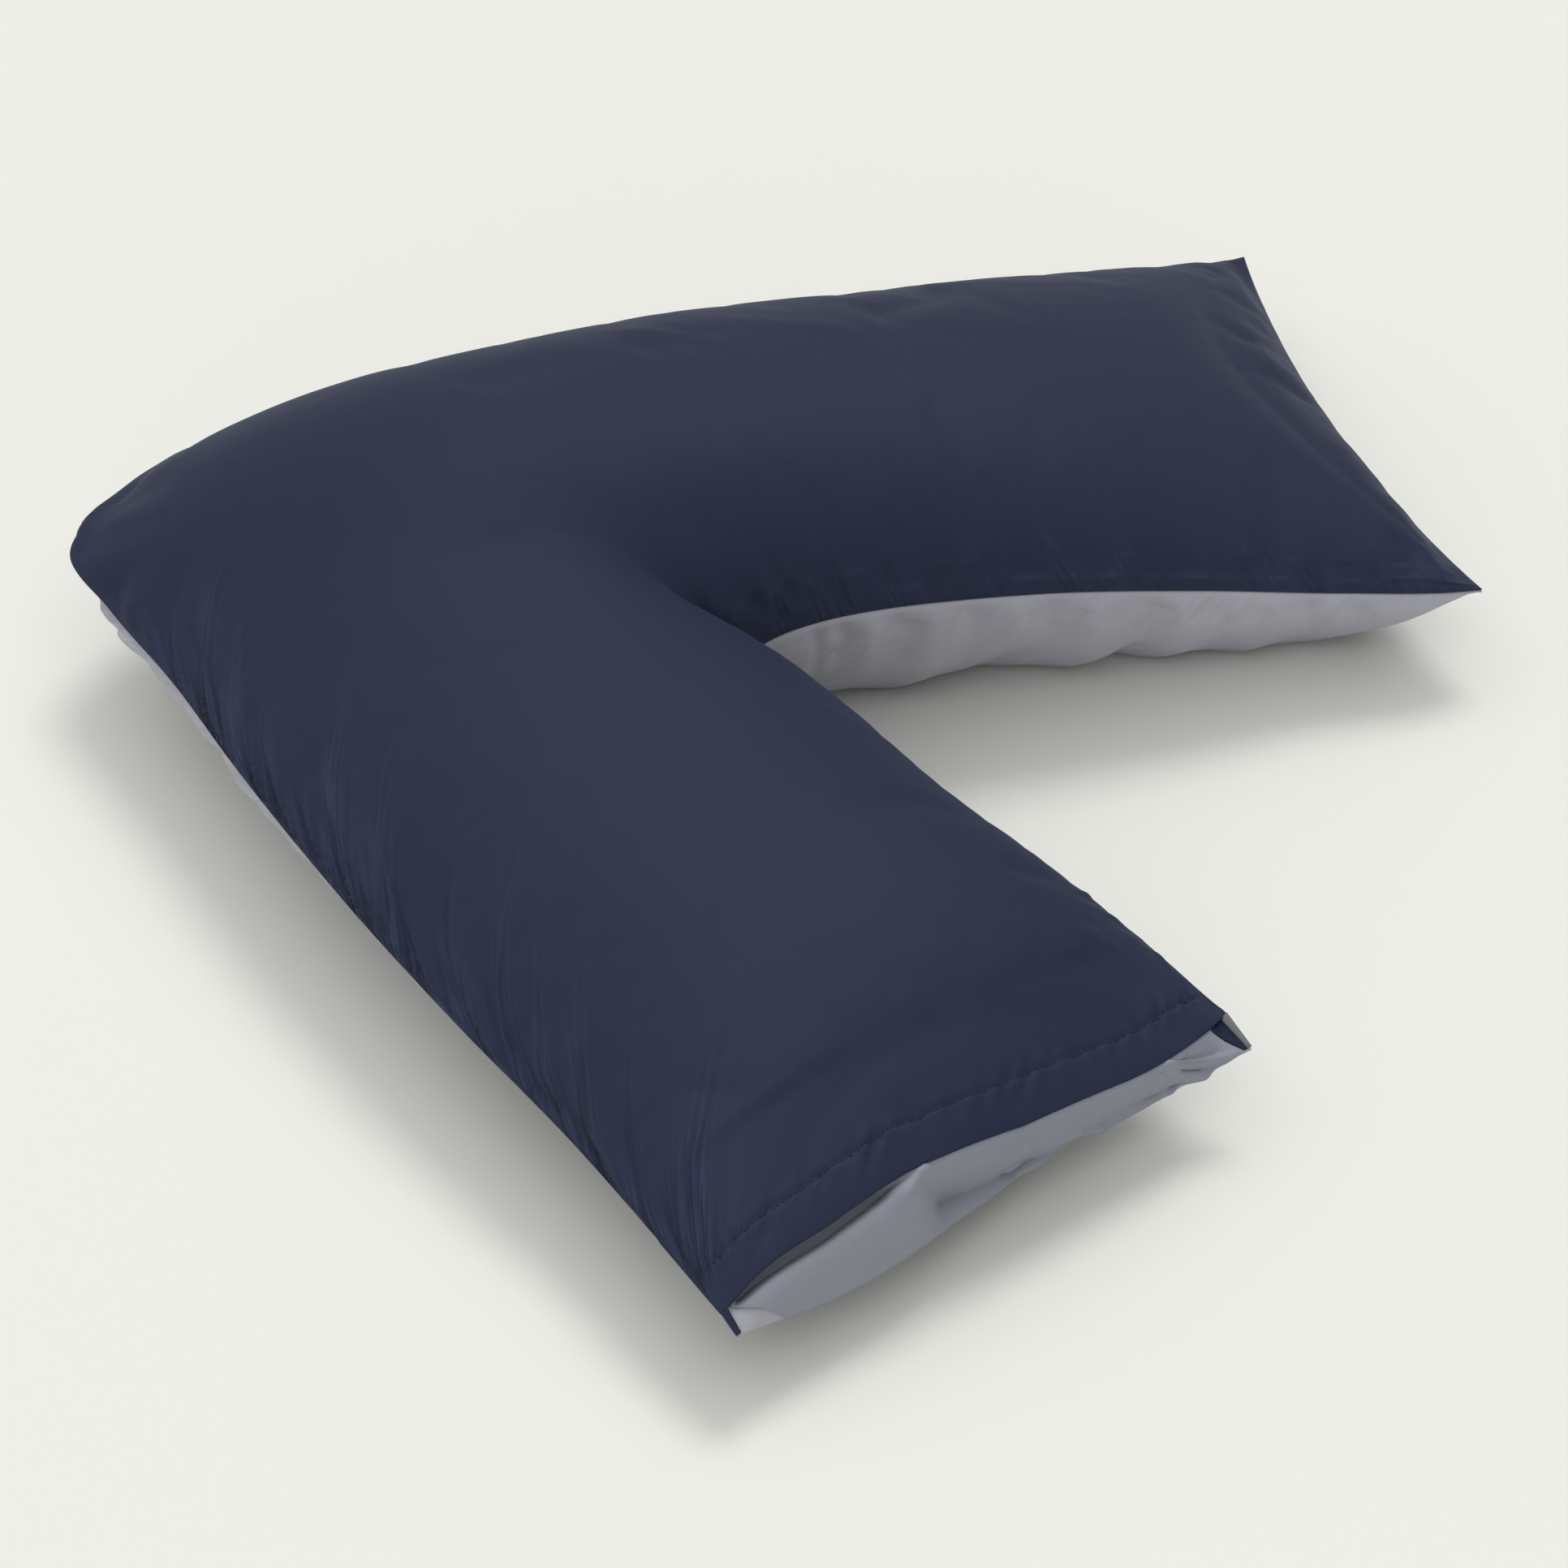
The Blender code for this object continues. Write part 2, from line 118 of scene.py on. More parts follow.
# Creases of the top cover. Each runs from one place to another, in millimetres along the
# pillow and in percent of the way round the cloth, and fades out towards its second end. Then
# come its width and its depth, which is above 0 for a trough and below 0 for a ridge.
TOP_CREASES = (
    # the closed end and the back of the closed arm
    (27, 34, 34, 49, 12, 4.0),
    (37, 42, 46, 53, 10, -3.0),
    (32, 54, 36, 64, 11, 4.0),
    (48, 44, 74, 40, 8, 2.0),
    (286, 41, 212, 33, 14, 3.5),
    (452, 46, 392, 44, 13, 3.0),
    (580, 47, 478, 45, 14, 3.0),
    (406, 47, 473, 36, 8, -1.4),
    (320, 47, 408, 39, 8, -1.2),
    (232, 30, 110, 34, 9, -1.5),
    # the puckers along the closed arm's inner seam
    (40, 92, 38, 74, 11, 3.5),
    (61, 98, 68, 86, 6, 2.2),
    (104, 97, 112, 86, 8, 3.2),
    (150, 98, 158, 89, 6, 1.6),
    (226, 99, 222, 87, 7, 2.2),
    (262, 98, 268, 90, 6, -1.4),
    (334, 98, 320, 87, 8, 2.6),
    (360, 98, 346, 86, 8, 2.6),
    (398, 98, 384, 88, 6, 1.8),
    (430, 98, 440, 86, 8, 2.0),
    (500, 98, 480, 82, 10, 2.4),
    # the outer corner
    (697, 6, 668, 24, 12, -3.6),
    (684, 12, 706, 24, 12, 6.0),
    (716, 6, 726, 26, 10, 2.4),
    (740, 6, 742, 24, 8, -1.2),
    (760, 4, 746, 28, 9, 2.0),
    (782, 5, 750, 22, 7, -1.4),
    (800, 5, 734, 30, 6, -1.3),
    (806, 4, 756, 32, 6, 1.4),
    # the drags along the open arm's outer seam
    (826, 3, 774, 20, 5.5, 4.0),
    (842, 2, 784, 18, 4.5, -3.0),
    (862, 1, 807, 17, 5.5, 4.4),
    (876, 1, 828, 14, 4.5, -3.7),
    (890, 1, 838, 14, 4.5, 4.0),
    (906, 1, 854, 13, 4.5, -3.0),
    (922, 1, 870, 15, 5.5, 4.4),
    (940, 1, 879, 13, 4.5, -4.0),
    (956, 1, 898, 12, 4.5, 3.7),
    (970, 1, 906, 14, 4.5, -2.8),
    (988, 2, 912, 15, 5.5, 4.8),
    (1002, 1, 931, 13, 4.5, -4.0),
    (1018, 1, 950, 15, 5.5, 4.8),
    (1036, 1, 968, 11, 4.5, -3.0),
    (1056, 1, 982, 12, 5.5, 3.3),
    (1078, 1, 1001, 12, 5.5, -3.3),
    (1096, 1, 1006, 16, 6.5, 5.2),
    (1122, 1, 1051, 11, 5.5, -2.5),
    (1150, 1, 1079, 11, 6.5, 3.3),
    (1184, 1, 1113, 10, 6.5, -2.5),
    (1222, 1, 1122, 13, 7.5, 4.4),
    (1262, 1, 1188, 10, 7.5, 4.8),
    (1300, 2, 1239, 10, 6.5, -3.0),
    (1330, 2, 1291, 12, 6.5, 3.3),
    # the open arm's inner side and the mouth
    (1150, 66, 1166, 80, 13, 2.4),
    (1222, 76, 1240, 88, 12, 3.4),
    (1236, 89, 1238, 80, 4, -1.4),
    (1248, 90, 1246, 82, 6, 1.6),
    (1300, 76, 1334, 82, 11, 3.2),
    (1298, 93, 1354, 86, 5, -1.2),
    (1348, 89, 1312, 93, 4, 2.2),
    (1352, 44, 1322, 46, 11, 2.6),
    (1358, 56, 1342, 56, 8, 2.4),
    (1358, 62, 1344, 63, 7, -1.2),
    (1358, 30, 1346, 31, 8, 1.2),
    (1358, 70, 1346, 69, 7, 1.4),
)


def columns(names, rows):
    table = np.array(rows, float)
    return {name: table[:, index] for index, name in enumerate(names)}


def ease(value):
    value = np.clip(value, 0.0, 1.0)
    return value * value * (3.0 - 2.0 * value)


def mix(first, second, share):
    return first + (second - first) * share


def smooth_curve(knots, values, at):
    """A smooth curve through values at the knots, read at any places."""
    spans = np.diff(knots)
    slopes = np.diff(values) / spans
    inner = (slopes[:-1] * spans[1:] + slopes[1:] * spans[:-1]) / (spans[1:] + spans[:-1])
    tangents = np.concatenate([slopes[:1], inner, slopes[-1:]])
    at = np.clip(at, knots[0], knots[-1])
    left = np.clip(np.searchsorted(knots, at, side="right") - 1, 0, len(spans) - 1)
    span = spans[left]
    x = (at - knots[left]) / span
    return (
        (1 + 2 * x) * (1 - x) ** 2 * values[left]
        + x * (1 - x) ** 2 * span * tangents[left]
        + x * x * (3 - 2 * x) * values[left + 1]
        + x * x * (x - 1) * span * tangents[left + 1]
    )


SECTION = columns(SECTION_COLUMNS, SECTIONS)
MOUTH_TABLE = columns(MOUTH_COLUMNS, MOUTH)


def section_places():
    """How far along the pillow each section lies, halfway between its middle and outer seam."""
    outer = np.stack([SECTION["outer_x"], SECTION["outer_y"], SECTION["outer_z"]], 1)
    inner = np.stack([SECTION["inner_x"], SECTION["inner_y"], SECTION["inner_z"]], 1)
    along_middle = np.linalg.norm(np.diff((outer + inner) / 2, axis=0), axis=1)
    along_outer = np.linalg.norm(np.diff(outer, axis=0), axis=1)
    return np.concatenate([[0.0], np.cumsum((along_middle + along_outer) / 2)])


PLACES = section_places()
HEM_AT = PLACES[-2]
EARS_AT = PLACES[-1]


def read(name, along):
    return smooth_curve(PLACES, SECTION[name], along)


def read_mouth(name, across):
    return smooth_curve(MOUTH_TABLE["across"], MOUTH_TABLE[name], across)


def profile(along, across):
    """Height of the filling across the pillow: 0 at both seams and 1 at the section's peak."""
    turned = across ** (np.log(0.5) / np.log(read("peak", along) / 100))
    return (1 - np.abs(2 * turned - 1) ** FULLNESS) ** ROUNDNESS


def from_edge(across, reach):
    return ease(np.minimum(across, 1 - across) / reach)


def parting(along, across):
    """The plain sheet through the seam, between the two cloths."""
    x = mix(read("outer_x", along), read("inner_x", along), across)
    y = mix(read("outer_y", along), read("inner_y", along), across)
    z = mix(read("outer_z", along), read("inner_z", along), across)
    run_x = read("inner_x", along) - read("outer_x", along)
    run_y = read("inner_y", along) - read("outer_y", along)
    bow = read("draw", along) * 4 * across * (1 - across) / np.hypot(run_x, run_y)
    return np.stack([x - run_y * bow, y + run_x * bow, z], -1)


def outward():
    """The plan direction out of the mouth."""
    run_x = SECTION["inner_x"][-2] - SECTION["outer_x"][-2]
    run_y = SECTION["inner_y"][-2] - SECTION["outer_y"][-2]
    return np.array([run_y, -run_x]) / np.hypot(run_x, run_y)


def round_share(across):
    """How far round the filled cloth a place lies, from the outer seam at 0 to the inner at 1."""
    return np.arccos(np.clip(1 - 2 * across, -1, 1)) / np.pi


def creased(points, along, across, creases):
    """The cloth drawn towards the middle of its section at a trough, and out at a ridge."""
    middle = parting(along, np.full_like(across, 0.5))
    arm = points - middle
    reach = np.linalg.norm(arm, axis=-1)
    place = round_share(across) * GIRTH
    pull = np.zeros_like(reach)
    for from_along, from_round, to_along, to_round, width, depth in creases:
        near = (along > min(from_along, to_along) - 3 * width)
        near = near & (along < max(from_along, to_along) + 3 * width)
        run = to_along - from_along
        climb = (to_round - from_round) / 100 * GIRTH
        beside = along[near] - from_along
        above = place[near] - from_round / 100 * GIRTH
        share = np.clip((beside * run + above * climb) / (run * run + climb * climb), 0, 1)
        gap = np.hypot(beside - share * run, above - share * climb)
        pull[near] += depth * (1 - share**2) * np.exp(-((gap / width) ** 2))
    pull *= from_edge(across, 0.004)
    return middle + arm * (1 - pull / np.maximum(reach, 1))[..., None]


def filled_sheet(name, sign, along, across):
    """A cloth as the filling holds it, with the turn at the V's corner rounded off."""
    reach = CORNER_ROUNDING * 4 * across * (1 - across)
    reach = np.minimum(reach, np.minimum(along, EARS_AT - along))
    total = 0.0
    offsets = np.linspace(-1, 1, 9)
    for offset in offsets:
        at = along + offset * reach
        points = parting(at, across)
        points[..., 2] += sign * read(name, at) * profile(at, across)
        total = total + points
    return total / len(offsets)


def stitched(along, across):
    """How far the hem's stitching draws the cloth in: a fine line with uneven puckers.

    Each pucker is a trough with a lower ridge beside it, and most lie more on the hem's side.
    """
    past = along - HEM_AT + STITCH_BACK
    place = round_share(across) * GIRTH
    sunk_by = STITCH_SINK * np.exp(-((past / 1.7) ** 2))
    near = np.abs(past) < 3 * STITCH_BACK
    by_hand = np.random.default_rng(11)
    places = (np.arange(PUCKERS) + by_hand.uniform(0.1, 0.9, PUCKERS)) * GIRTH / PUCKERS
    for at in places:
        lean = by_hand.uniform(-0.9, 0.5)
        reach = by_hand.uniform(3.0, 11.0)
        depth = by_hand.uniform(0.4, 1.0) ** 2 * 3.2
        ahead = by_hand.uniform(-2.0, 6.0)
        gap = place[near] - at - lean * past[near]
        pucker = np.exp(-((gap / 2.6) ** 2)) - 0.6 * np.exp(-(((gap - 4.6) / 3.0) ** 2))
        sunk_by[near] += depth * pucker * np.exp(-(((past[near] - ahead) / reach) ** 2))
    return sunk_by * from_edge(across, 0.03)


def top_sheet(along, across):
    """The outside of the top cover, crowned by the filling and drawn to the hem at the mouth."""
    along, across = np.broadcast_arrays(along, across)
    points = filled_sheet("crown", 1, along, across)
    at_mouth = ease((along - HEM_AT + MOUTH_REACH) / MOUTH_REACH)
    hem_row = np.full_like(along, HEM_AT)
    hem = parting(hem_row, across)
    hem[..., 2] += read_mouth("hem_up", across)
    points += at_mouth[..., None] * (hem - filled_sheet("crown", 1, hem_row, across))
    points[..., :2] += outward() * (at_mouth * read_mouth("hem_out", across))[..., None]
    points[..., 2] += SEAM_GAP / 2 + SEAM_LIP
    points = creased(points, along, across, TOP_CREASES)
    points[..., 2] -= stitched(along, across)
    return points


def hem_underside(along, across):
    """The inside of the hem, which runs back to where the filling ends."""
    along, across = np.broadcast_arrays(along, across)
    lip = top_sheet(along, across)
    lip[..., 2] -= mix(SEAM_LIP, HEM_THICKNESS, from_edge(across, HEM_EDGE))
    flat = parting(along, across)
    flat[..., 2] += SEAM_GAP / 2
    share = ease((along - HEM_AT + HEM_DEPTH + FILLING_END) / FILLING_END)
    return mix(flat, lip, share[..., None])


def even_stations():
    """Rows of the mesh, evenly spaced from the closed end to the hem."""
    rows = np.linspace(0, HEM_AT, int(HEM_AT / ROW_STEP) + 1)
    at_hem = HEM_AT - np.arange(0, HEM_DEPTH, HEM_ROW_STEP)
    return np.concatenate([rows[rows < at_hem[-1] - HEM_ROW_STEP], at_hem[::-1]])


def even_shares():
    """Columns of the mesh, evenly spaced round the filled cloth from seam to seam."""
    fine = 0.5 - 0.5 * np.cos(np.pi * np.linspace(0, 1, 2001))
    width, height = 340.0, 95.0
    rise = height * (1 - np.abs(2 * fine - 1) ** FULLNESS) ** ROUNDNESS
    length = np.concatenate([[0], np.cumsum(np.hypot(np.diff(fine) * width, np.diff(rise)))])
    count = int(length[-1] / ROUND_STEP)
    shares = np.interp(np.linspace(0, length[-1], count + 1), length, fine)
    return np.union1d(shares, EAR_SHARES)


def seam_line(along, across, side):
    """The turned-in edge of a cloth at the seam. side is 1 above the parting and -1 below."""
    points = parting(along, across)
    middle = parting(along, np.full_like(across, 0.5))
    inward = middle - points
    inward /= np.maximum(np.linalg.norm(inward, axis=-1, keepdims=True), 1)
    points += inward * SEAM_TURN_IN
    points[..., 2] += side * SEAM_GAP / 2
    return points


def sewn_body(name, skin, inside, seam, end_seam):
    """A closed mesh: the cloth's outside, its inside behind the mouth, and the parting between.

    skin and inside are rows of points, and inside starts where skin ends. seam holds the
    turned-in edge at both sides of each further row, and end_seam that of the first row. The
    parting is one face as far as CLOSED_END_ROWS, and a strip of faces from there on.
    """
    bm = bmesh.new()

    def grid(points):
        flat = points.reshape(-1, 3)
        made = [bm.verts.new([float(v) * MM for v in point + CORNER_AT]) for point in flat]
        return np.array(made, dtype=object).reshape(points.shape[:-1])

    def quads(first, second):
        for a, b, c, d in zip(first[:-1], first[1:], second[1:], second[:-1]):
            bm.faces.new((a, b, c, d))

    skin_v, inside_v, seam_v = grid(skin), grid(inside), grid(seam)
    end_v = np.concatenate([[seam_v[0, 0]], grid(end_seam[1:-1]), [seam_v[0, 1]]])
    walls = np.concatenate([skin_v, inside_v])
    for row in range(len(walls) - 1):
        quads(walls[row], walls[row + 1])
    quads(skin_v[0], end_v)
    for side, column in ((0, 0), (1, -1)):
        edge = np.concatenate([seam_v[:, side], inside_v[::-1, column]])
        quads(skin_v[:, column], edge)
    last = CLOSED_END_ROWS
    bm.faces.new([*end_v, *seam_v[1:last + 1, 1], *seam_v[last:0:-1, 0]])
    quads(seam_v[last:, 0], seam_v[last:, 1])
    bm.faces.new([seam_v[-1, 0], *inside_v[-1], seam_v[-1, 1]])
    bmesh.ops.recalc_face_normals(bm, faces=bm.faces)
    mesh = bpy.data.meshes.new(name)
    bm.to_mesh(mesh)
    bm.free()
    mesh.shade_smooth()
    body = bpy.data.objects.new(name, mesh)
    bpy.context.scene.collection.objects.link(body)
    return body


DRAG_SPACING = 17
DRAG_FADE = 25


def lay_weave(body, skin_count, along, across, drags):
    """UV maps in metres: along and round the cloth for the weave, and along each seam's drags.

    A drag row gives where it starts and ends along the pillow, its seam (0 outer, 1 inner), how
    far it reaches in, how it leans, and its strength.
    """
    along, across = np.broadcast_arrays(along, across)
    place = round_share(across) * GIRTH
    pull = np.zeros(along.shape)
    drag_along, drag_in = along.copy(), place.copy()
    by_hand = np.random.default_rng(23)
    spots = np.arange(0, 1500, DRAG_SPACING)
    for start, end, seam, reach, lean, strength in drags:
        inset = GIRTH - place if seam else place
        fade = ease((along - start) / DRAG_FADE) * ease((end - along) / DRAG_FADE)
        uneven = np.interp(along + lean * inset, spots, by_hand.uniform(0, 1, len(spots)))
        here = strength * fade * (0.15 + uneven**1.5)
        here *= np.exp(-((inset / (reach * (0.4 + uneven))) ** 2))
        stronger = here > pull
        drag_along = np.where(stronger, along + lean * inset, drag_along)
        drag_in = np.where(stronger, inset, drag_in)
        pull = np.maximum(pull, here)
    count = len(body.data.vertices)
    loops = np.zeros(len(body.data.loops), int)
    body.data.loops.foreach_get("vertex_index", loops)
    for name, first, second in (("cloth", along, place), ("drag", drag_along, drag_in)):
        places = np.zeros((count, 2))
        places[:skin_count, 0] = first.ravel()[:skin_count] * MM
        places[:skin_count, 1] = second.ravel()[:skin_count] * MM
        body.data.uv_layers.new(name=name).data.foreach_set("uv", places[loops].ravel())
    strengths = np.zeros(count)
    strengths[:skin_count] = pull.ravel()[:skin_count]
    layer = body.data.attributes.new("seam_pull", "FLOAT", "POINT")
    layer.data.foreach_set("value", strengths)


def percale(name, colour, sheen_tint, gloss, roughness):
    """Cotton percale: a fine plain weave, faint slubs, a little fuzz, a low lustre, and painted light
    and shade on the drags that run in from the seams.
    """
    material = bpy.data.materials.new(name)
    material.use_nodes = True
    nodes, links = material.node_tree.nodes, material.node_tree.links
    shader = nodes["Principled BSDF"]
    shader.inputs["Sheen Weight"].default_value = 0.08
    shader.inputs["Sheen Roughness"].default_value = 0.45
    shader.inputs["Sheen Tint"].default_value = (*sheen_tint, 1)
    shader.inputs["Specular IOR Level"].default_value = gloss
    place = nodes.new("ShaderNodeTexCoord")

    def noise(scale, detail, source="Object", stretch=(1, 1, 1)):
        turn = nodes.new("ShaderNodeMapping")
        turn.inputs["Scale"].default_value = stretch
        made = nodes.new("ShaderNodeTexNoise")
        made.inputs["Scale"].default_value = scale
        made.inputs["Detail"].default_value = detail
        links.new(place.outputs[source], turn.inputs["Vector"])
        links.new(turn.outputs["Vector"], made.inputs["Vector"])
        return made.outputs["Fac"]

    def maths(operation, first, second):
        made = nodes.new("ShaderNodeMath")
        made.operation = operation
        for socket, value in zip(made.inputs, (first, second)):
            if isinstance(value, (int, float)):
                socket.default_value = value
            else:
                links.new(value, socket)
        return made.outputs[0]

    cloudy = noise(9, 3)
    slubs = noise(260, 2, "UV", (1, 0.08, 1))
    cross_slubs = noise(260, 2, "UV", (0.08, 1, 1))
    both = maths("ADD", maths("MULTIPLY", slubs, 0.5), maths("MULTIPLY", cross_slubs, 0.5))
    shade = maths("ADD", maths("MULTIPLY", cloudy, 0.5), maths("MULTIPLY", both, 0.5))
    ramp = nodes.new("ShaderNodeValToRGB")
    ramp.color_ramp.elements[0].position = 0.3
    ramp.color_ramp.elements[1].position = 0.7
    ramp.color_ramp.elements[0].color = (*[c * 0.93 for c in colour], 1)
    ramp.color_ramp.elements[1].color = (*[c * 1.07 for c in colour], 1)
    links.new(shade, ramp.inputs["Fac"])
    links.new(maths("ADD", maths("MULTIPLY", both, 0.2), roughness), shader.inputs["Roughness"])

    # fine sharp ridges that run in from the seams, as bumps, with painted light on the ridges and
    # painted shade in the troughs
    drag_place = nodes.new("ShaderNodeUVMap")
    drag_place.uv_map = "drag"
    stretch = nodes.new("ShaderNodeMapping")
    stretch.inputs["Scale"].default_value = (1, 0.10, 1)
    streaks = nodes.new("ShaderNodeTexNoise")
    streaks.inputs["Scale"].default_value = 105
    streaks.inputs["Detail"].default_value = 2.5
    links.new(drag_place.outputs["UV"], stretch.inputs["Vector"])
    links.new(stretch.outputs["Vector"], streaks.inputs["Vector"])
    from_middle = maths("ABSOLUTE", maths("SUBTRACT", streaks.outputs["Fac"], 0.5), 0)
    ridges = maths("POWER", maths("SUBTRACT", 1, maths("MULTIPLY", from_middle, 4)), 2)
    seam_pull = nodes.new("ShaderNodeAttribute")
    seam_pull.attribute_name = "seam_pull"
    # painted light and shade: the base colour made lighter on the ridges and darker in the troughs, as
    # far as the seam pulls
    painted_ridge_shading = nodes.new("ShaderNodeHueSaturation")
    lift = maths("SUBTRACT", maths("MULTIPLY", ridges, 1.1), 0.35)
    painted_drag_light_and_shade = maths("MULTIPLY", lift, seam_pull.outputs["Fac"])
    links.new(maths("ADD", painted_drag_light_and_shade, 1), painted_ridge_shading.inputs["Value"])
    links.new(ramp.outputs["Color"], painted_ridge_shading.inputs["Color"])
    links.new(painted_ridge_shading.outputs["Color"], shader.inputs["Base Color"])

    # two sets of threads, 0.45 mm apart, that cross
    threads = []
    for direction in ("X", "Y"):
        wave = nodes.new("ShaderNodeTexWave")
        wave.bands_direction = direction
        wave.inputs["Scale"].default_value = 700
        wave.inputs["Distortion"].default_value = 0.6
        wave.inputs["Detail Scale"].default_value = 3
        links.new(place.outputs["UV"], wave.inputs["Vector"])
        threads.append(wave.outputs["Fac"])
    weave = maths("MULTIPLY", threads[0], threads[1])
    height = maths("ADD", maths("MULTIPLY", weave, 0.6), maths("MULTIPLY", both, 0.4))
    bump = nodes.new("ShaderNodeBump")
    bump.inputs["Strength"].default_value = 0.35
    bump.inputs["Distance"].default_value = 0.00012
    links.new(height, bump.inputs["Height"])
    rumple = nodes.new("ShaderNodeBump")
    rumple.inputs["Strength"].default_value = 0.3
    rumple.inputs["Distance"].default_value = 0.0012
    links.new(noise(55, 3), rumple.inputs["Height"])
    links.new(rumple.outputs["Normal"], bump.inputs["Normal"])

    drag = nodes.new("ShaderNodeBump")
    drag.inputs["Distance"].default_value = 0.003
    links.new(seam_pull.outputs["Fac"], drag.inputs["Strength"])
    links.new(ridges, drag.inputs["Height"])
    links.new(drag.outputs["Normal"], rumple.inputs["Normal"])
    links.new(bump.outputs["Normal"], shader.inputs["Normal"])
    return material


# The filling presses the covers out between their seams in a short cloth simulation, on every
# third row and second column of each cover, up to 36 rows from the mouth, with a little cloth
# to spare. Only the fine wrinkles that it forms are kept, less in the middle than by the
# seams, so the pillow keeps its outline.
SIM_ROWS = 3
SIM_COLUMNS = 2
SIM_HELD_AT_MOUTH = 36
SIM_FRAMES = 20
PRESSURE = 4.0
CLOTH_SPARE = 0.016
BROAD = 60.0
BROAD_CELLS = 9
MOST_WRINKLE = 3.0
MIDDLE_SHARE = 0.45


def blurred(grid, reach):
    """The grid smoothed along its rows and its columns, over so many cells."""
    offsets = np.arange(-3 * reach, 3 * reach + 1)
    weights = np.exp(-((offsets / reach) ** 2))
    weights /= weights.sum()
    for axis in (0, 1):
        ends = [(0, 0)] * 3
        ends[axis] = (3 * reach, 3 * reach)
        wide = np.pad(grid, ends, mode="edge")
        at = np.arange(grid.shape[axis])
        grid = sum(w * np.take(wide, at + k, axis) for k, w in enumerate(weights))
    return grid


def every_cell(grid, axis, places):
    """A coarse grid's values at every whole place along one axis."""
    at = np.interp(np.arange(places[-1] + 1), places, np.arange(len(places)))
    low = np.minimum(at.astype(int), len(places) - 2)
    share = (at - low).reshape([-1 if axis == k else 1 for k in range(3)])
    return np.take(grid, low, axis) * (1 - share) + np.take(grid, low + 1, axis) * share


def wrinkles(skin, along, across, upward):
    """How far the pressed cloth moves each place of the skin, without its broad swelling."""
    moves = np.zeros_like(skin)
    last = len(skin) - SIM_HELD_AT_MOUTH
    rows = np.append(np.arange(0, last, SIM_ROWS), last)
    columns = np.unique(np.append(np.arange(0, skin.shape[1], SIM_COLUMNS), skin.shape[1] - 1))
    coarse = skin[np.ix_(rows, columns)]
    index = np.arange(coarse[..., 0].size).reshape(coarse.shape[:2])
    corners = index[:-1, :-1], index[1:, :-1], index[1:, 1:], index[:-1, 1:]
    faces = np.stack(corners, -1).reshape(-1, 4)
    corner = coarse[5, 5], coarse[6, 5], coarse[6, 6]
    if (np.cross(corner[1] - corner[0], corner[2] - corner[1])[2] > 0) != upward:
        faces = faces[:, ::-1]
    mesh = bpy.data.meshes.new("pressed cloth")
    mesh.from_pydata((coarse.reshape(-1, 3) * MM).tolist(), [], faces.tolist())
    pressed = bpy.data.objects.new("pressed cloth", mesh)
    bpy.context.scene.collection.objects.link(pressed)
    held = np.concatenate([*index[:, :2].T, *index[:, -2:].T, index[0], *index[-2:]])
    pressed.vertex_groups.new(name="held").add(held.tolist(), 1.0, "REPLACE")
    cloth = pressed.modifiers.new("cloth", "CLOTH")
    cloth.settings.quality = 6
    cloth.settings.use_pressure = True
    cloth.settings.uniform_pressure_force = PRESSURE
    cloth.settings.vertex_group_mass = "held"
    cloth.settings.shrink_min = -CLOTH_SPARE
    cloth.settings.effector_weights.gravity = 0
    cloth.point_cache.frame_start = 1
    cloth.point_cache.frame_end = SIM_FRAMES
    for number in range(1, SIM_FRAMES + 1):
        bpy.context.scene.frame_set(number)
    after = np.zeros(coarse.size)
    graph = bpy.context.evaluated_depsgraph_get()
    pressed.evaluated_get(graph).data.vertices.foreach_get("co", after)
    bpy.data.objects.remove(pressed)
    bpy.context.scene.frame_set(1)
    moved = after.reshape(coarse.shape) / MM - coarse
    beside = np.minimum(round_share(across), 1 - round_share(across)).ravel()[columns] * GIRTH
    before = along.ravel()[rows]
    inside = np.minimum(beside[None, :], np.minimum(before, before[-1] - before)[:, None])
    inside = ease(inside / BROAD)[..., None]
    moved -= blurred(moved, BROAD_CELLS) * inside
    length = np.linalg.norm(moved, axis=-1, keepdims=True)
    moved *= MOST_WRINKLE * np.tanh(length / MOST_WRINKLE) / np.maximum(length, 1e-6)
    moved *= mix(1, MIDDLE_SHARE, inside)
    moves[:last + 1] = every_cell(every_cell(moved, 0, rows), 1, columns)
    return blurred(moves, 1)


along = even_stations()[:, None]
across = even_shares()[None, :]
behind_hem = int(np.sum(along > HEM_AT - HEM_DEPTH - FILLING_END)) + 1

top_skin = top_sheet(along, across)
top_skin += wrinkles(top_skin, along, across, True)
lip = hem_underside(along[-behind_hem:-1], across)[::-1]
nose = (top_skin[-1:] + hem_underside(along[-1:], across)) / 2
nose[..., :2] += outward() * HEM_NOSE
sides = np.array([[0.0, 1.0]])
top_seam = seam_line(*np.broadcast_arrays(along[:-behind_hem], sides), 1)
top_end = seam_line(*np.broadcast_arrays(along[:1], across), 1)[0]
top_cover = sewn_body("top_cover", top_skin, np.concatenate([nose, lip]), top_seam, top_end)
TOP_DRAGS = (
    (770, 1362, 0, 62, 0.95, 1.5),
    (590, 790, 0, 48, 0.20, 0.35),
    (0, 600, 0, 40, -0.30, 0.25),
    (8, 560, 1, 46, -0.15, 0.5),
    (760, 1362, 1, 40, 0.30, 0.25),
)
lay_weave(top_cover, top_skin[..., 0].size, along, across, TOP_DRAGS)
navy = percale("navy percale", (0.0205, 0.0265, 0.0565), (0.30, 0.38, 0.62), 0.12, 0.50)
top_cover.data.materials.append(navy)
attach(top_cover, "root")
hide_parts("top_panel")

